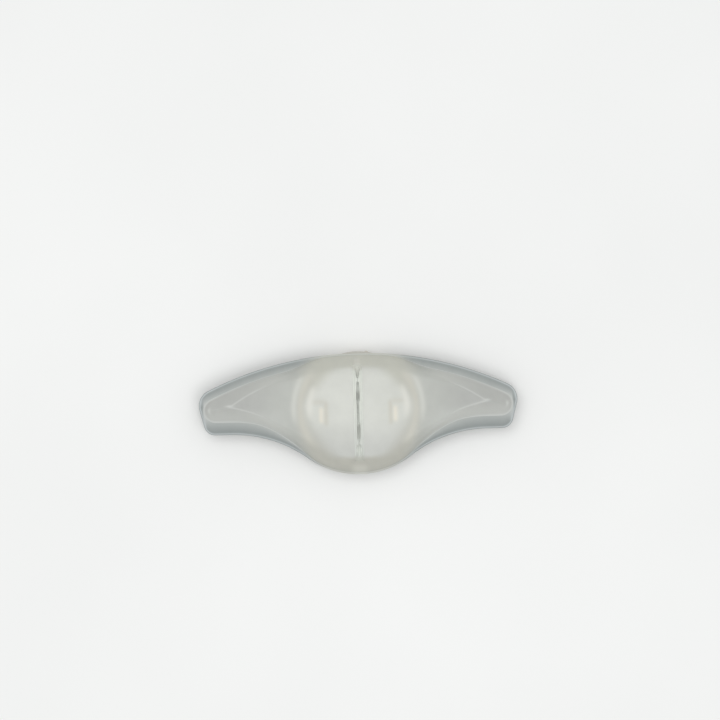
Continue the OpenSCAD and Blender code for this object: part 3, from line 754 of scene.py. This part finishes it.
# Fine matt grain that the frosted and soft clear pieces share
frost_patches = 500.0
frost_rough = (0.42, 0.5)
frost_grain = 5000.0
frost_bump = 0.12
frost_depth = 0.00003


def frosted(name):
    m = Mat(name)
    m.rough(m.noise(frost_patches), *frost_rough)
    m.bump(m.noise(frost_grain, fine_detail), frost_bump, frost_depth)
    return m


# Front shell: greyer at the thin flange, warm over the dome, whiter over the light core, with painted
# shade towards the belly and painted highlights at its edges and creases
def frosted_shell():
    m = frosted("frosted_clear")
    # Painted shade: the flange and dome darker towards the belly, the core darker towards its low end
    flange = m.blend(m.mask("dome_painted_shade"), m.tone(260.0, (161, 167, 164)), m.tone(260.0, (153, 160, 158)))
    flange = m.blend(m.mask("flange_inner"), flange, m.tone(260.0, (174, 179, 175)))
    dome = m.blend(m.mask("dome_painted_shade"), m.tone(240.0, (215, 215, 203)), m.tone(240.0, (203, 202, 191)))
    core = m.blend(m.mask("core_painted_shade"), m.tone(180.0, (224, 225, 217)), m.tone(180.0, (211, 212, 206)))
    # Each layer over the one before: its mask, its full share and its tone. The slope light, the
    # highlights on the shoulders, ring, creases and rim, and the pocket shadow are painted light and
    # shade
    layers = (
        ("near_dome", 1.0, m.tone(200.0, (201, 203, 196))),
        ("painted_low_slope_light", 0.6, m.tone(200.0, (212, 214, 208))),
        ("painted_steep_light", 0.6, lin(232, 233, 226)),
        ("dome_cover", 1.0, dome),
        ("flange_cover", 1.0, flange),
        ("warm_ring", 0.9, lin(225, 223, 211)),
        ("core_cover", 1.0, core),
        ("shoulder_highlight", 0.7, lin(244, 243, 234)),
        ("ring_highlight", 0.75, lin(231, 232, 224)),
        ("board_and_pocket_shadow", 0.42, lin(208, 202, 184)),
        ("led_glow", 0.75, lin(248, 242, 226)),
        ("path_strip", 0.7, lin(230, 229, 218)),
        ("crease_highlight", 0.75, lin(234, 236, 231)),
        ("rim_highlight", 0.9, lin(220, 226, 226)),
    )
    tone = m.tone(220.0, (192, 193, 188))
    for name, share, colour in layers:
        tone = m.blend(m.span(m.mask(name), 0, 1, 0, share), tone, colour)
    m.colour(tone)
    m.link(m.span(m.mask("core_cover"), 0, 1, 0.3, 0.22), m.bsdf.inputs["Transmission Weight"])
    m.set(IOR=1.46, Coat_Weight=0.1, Coat_Roughness=0.3)
    return m.mat


def frosted_back():
    m = frosted("frosted_back")
    m.colour(m.grain(240.0, (196, 200, 197), (203, 206, 202)))
    m.set(IOR=1.46, Transmission_Weight=0.35)
    return m.mat


# Soft grip: its tones run along the channel, given at places from the low end to the top.
# The lips come out about as light as the core beside them, with the same painted shade towards the low
# end, and as warm as the dome at both ends.
# Inside, the channel is nearly white, painted light for what comes through the plastic, with two greyer
# stretches of painted shade that show through the slit.
# The bed is the bottom of the bore, which lies open at the channel's two mouths, and is painted with
# shade there.
lip_tones = (
    (-22, (186, 186, 177)), (-20.8, (188, 188, 179)), (-19.6, (203, 205, 199)), (-12, (207, 209, 203)),
    (0, (215, 217, 209)), (15.5, (214, 216, 208)), (16.6, (203, 203, 194)), (18.5, (203, 202, 192)),
)
inside_painted_light_and_shade = (
    (-22, (188, 188, 179)), (-20.8, (190, 190, 181)), (-19.6, (206, 208, 202)), (-18, (242, 244, 238)),
    (-14, (250, 251, 247)), (-12.5, (224, 225, 220)), (-8, (218, 219, 214)), (-6.5, (250, 251, 247)),
    (3, (252, 253, 249)), (4, (222, 223, 218)), (6.2, (220, 221, 216)), (7.5, (250, 251, 247)),
    (12.8, (252, 253, 249)), (13.8, (238, 239, 234)), (15.6, (224, 225, 218)), (16.6, (205, 205, 196)),
    (18.5, (203, 202, 192)),
)
bed_painted_shade = (
    (-22, (186, 186, 177)), (-20.8, (188, 188, 180)), (-19.6, (200, 202, 196)), (-16, (208, 210, 204)),
    (-14, (244, 245, 241)), (12.8, (252, 253, 249)), (13.8, (210, 211, 205)), (15.8, (206, 206, 199)),
    (16.8, (203, 203, 194)),
)
tone_reach = 30
inside_depth = (0.7, 1.0)
mouth_depth = (0.35, 0.6)
bed_depth = (3.9, 4.3)
low_mouth_start = (-14.5, -15.5)
bed_start = (12.8, 13.8)


def soft_grip():
    m = frosted("soft_clear")
    height = m.axis("Z")
    from_middle = m.math("SUBTRACT", m.axis("Y"), middle_y / per_metre)
    along = m.span(m.axis("Y"), -tone_reach / per_metre, tone_reach / per_metre)

    def run(tones):
        return m.ramp(along, [((middle_y + v) / (2 * tone_reach) + 0.5, lin(*rgb)) for v, rgb in tones])

    def fade(source, start, end):
        return m.span(source, start / per_metre, end / per_metre)

    def below_crest(source, depth):
        return fade(source, crest_z - depth[0], crest_z - depth[1])

    # Height made up for the fall of the dome's ball towards both ends
    ball_fall = per_metre / 2 / dome_ball_r
    fall = m.math("MULTIPLY", m.math("MULTIPLY", from_middle, from_middle), ball_fall)
    level = m.math("ADD", height, fall)
    low_mouth = m.math("MULTIPLY", fade(from_middle, *low_mouth_start), below_crest(level, mouth_depth))
    within = m.math("MAXIMUM", below_crest(level, inside_depth), low_mouth)
    at_mouths = fade(m.math("ABSOLUTE", from_middle, 0.0), *bed_start)
    on_bed = m.math("MULTIPLY", below_crest(height, bed_depth), at_mouths)
    tone = m.blend(within, run(lip_tones), run(inside_painted_light_and_shade))
    tone = m.blend(on_bed, tone, run(bed_painted_shade))
    m.colour(m.blend(1.0, tone, m.grain(320.0, (246, 247, 246), (254, 255, 254)), "MULTIPLY"))
    m.set(IOR=1.42)
    return m.mat


# Plain mouldings, metals and boards
mould_grain = 4000.0
mould_depth = 0.00004
rough_ratio = 1.7


def moulded(name, dark, light, rough, scale=900.0, bump=0.15, **sockets):
    m = Mat(name)
    m.colour(m.grain(scale, dark, light))
    m.rough(m.noise(scale * rough_ratio), *rough)
    m.bump(m.noise(mould_grain, fine_detail), bump, mould_depth)
    m.set(**sockets)
    return m.mat


# Darker tone, lighter tone, range of roughness, and what else differs from the usual
plain_looks = {
    "core_white": ((226, 227, 220), (234, 234, 228), (0.4, 0.5), {}),
    "cup_grey": ((203, 200, 191), (209, 206, 197), (0.42, 0.55), {"bump": 0.25}),
    "flap_rubber": ((206, 201, 191), (212, 207, 197), (0.55, 0.7), {"bump": 0.3}),
    "button_rubber": ((96, 99, 98), (104, 107, 105), (0.5, 0.65), {"bump": 0.3}),
    "seal_rubber": ((30, 30, 31), (38, 38, 39), (0.55, 0.7), {}),
    "board_green": ((28, 78, 50), (36, 90, 58), (0.25, 0.35), {"scale": 500.0}),
    "led_board": ((224, 221, 205), (232, 228, 212), (0.3, 0.4), {"scale": 700.0}),
    "led_cream": ((240, 231, 200), (246, 238, 210), (0.25, 0.35), {"scale": 700.0}),
    "cell_foil": ((188, 190, 194), (204, 206, 209), (0.3, 0.45), {"scale": 300.0, "Metallic": 0.9}),
    "tape_yellow": ((214, 176, 70), (224, 188, 84), (0.4, 0.55), {}),
    "lead_red": ((176, 30, 26), (190, 40, 34), (0.35, 0.45), {}),
    "lead_black": ((28, 28, 29), (36, 36, 37), (0.35, 0.45), {}),
    "black_plastic": ((34, 34, 36), (42, 42, 44), (0.4, 0.5), {}),
    "chip_black": ((30, 30, 32), (40, 40, 42), (0.5, 0.65), {"scale": 2000.0}),
    "socket_steel": ((186, 187, 189), (200, 201, 203), (0.25, 0.35), {"Metallic": 1.0}),
    "contact_gold": ((206, 168, 84), (220, 184, 100), (0.2, 0.3), {"Metallic": 1.0}),
    "capacitor_tan": ((168, 138, 104), (180, 150, 116), (0.45, 0.6), {}),
    "resistor_black": ((34, 34, 38), (44, 44, 48), (0.3, 0.45), {}),
    "charge_lens": ((226, 140, 96), (236, 152, 106), (0.2, 0.3), {}),
    "screw_steel": ((168, 170, 174), (184, 186, 190), (0.25, 0.35), {"Metallic": 1.0}),
}
materials = {
    name: moulded(name, dark, light, rough, **extra)
    for name, (dark, light, rough, extra) in plain_looks.items()
}
materials["frosted_back"] = frosted_back()
materials["soft_clear"] = soft_grip()

node_looks = {
    "back_plate": "frosted_back",
    "spoke_grip": "soft_clear",
    "light_core": "core_white",
    "engine_cup": "cup_grey",
    "cup_gasket": "seal_rubber",
    "port_flap": "flap_rubber",
    "main_board": "board_green",
    "left_led_board": "led_board",
    "right_led_board": "led_board",
    "left_led": "led_cream",
    "right_led": "led_cream",
    "battery_cell": "cell_foil",
    "battery_tape": "tape_yellow",
    "battery_lead_red": "lead_red",
    "battery_lead_black": "lead_black",
    "switch_body": "black_plastic",
    "switch_plunger": "black_plastic",
    "power_button": "button_rubber",
    "usb_socket": "socket_steel",
    "usb_tongue": "black_plastic",
    "usb_contacts": "contact_gold",
    "controller_chip": "chip_black",
    "charger_chip": "chip_black",
    "led_drivers": "chip_black",
    "capacitors": "capacitor_tan",
    "resistors": "resistor_black",
    "charge_led": "charge_lens",
    "housing_screws": "screw_steel",
}
for name, look in node_looks.items():
    obj = nodes[name]
    obj.data.materials.clear()
    obj.data.materials.append(materials[look])
    smooth(obj, piece_crease)

shell = build_shell()
shell.data.materials.append(frosted_shell())
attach(shell, "housing")
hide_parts("front_shell")


# Floor, light and camera, in metres
floor_size = 8
floor_drop = 0.0002
lamp_aim = Vector((0, 0, 0.01))
lamp_size = 0.9
sky_tint = (0.97, 0.985, 1.0, 1.0)
sky_strength = 0.7


def floor_look():
    m = Mat("floor")
    m.colour(m.grain(6.0, (236, 236, 234), (240, 240, 238)))
    m.set(Roughness=0.9, Specular_IOR_Level=0.1)
    return m.mat


bpy.ops.mesh.primitive_plane_add(size=floor_size, location=(0, 0, -floor_drop))
floor = bpy.context.object
floor.name = "floor"
floor.data.materials.append(floor_look())

scene = bpy.context.scene
scene.world = bpy.data.worlds.new("studio")
scene.world.use_nodes = True
sky = scene.world.node_tree.nodes["Background"]
sky.inputs["Color"].default_value = sky_tint
sky.inputs["Strength"].default_value = sky_strength


def lamp(name, at, power):
    data = bpy.data.lights.new(name, "AREA")
    data.shape = "DISK"
    data.size = lamp_size
    data.energy = power
    obj = bpy.data.objects.new(name, data)
    scene.collection.objects.link(obj)
    obj.location = at
    obj.rotation_euler = (lamp_aim - Vector(at)).to_track_quat("-Z", "Y").to_euler()


lamp("key", (-0.25, 0.3, 1.15), 3.5)
lamp("fill", (0.25, -0.4, 1.1), 3.0)

# The camera looks straight down, at the photograph's scale and tilt
view_width = 0.3041
distance = 1.4
look_at = Vector((0.00127, 0.02224, 0.010))
camera_turn = -1.5
sensor_mm = 36.0
camera_data = bpy.data.cameras.new("camera")
camera_data.sensor_width = sensor_mm
camera_data.lens = sensor_mm * distance / view_width
camera = bpy.data.objects.new("camera", camera_data)
scene.collection.objects.link(camera)
camera.location = look_at + Vector((0, 0, distance))
camera.rotation_euler = (0, 0, radians(camera_turn))
bpy.context.scene.camera = camera
scene.view_settings.view_transform = "Standard"
scene.cycles.max_bounces = 16
scene.cycles.transmission_bounces = 12
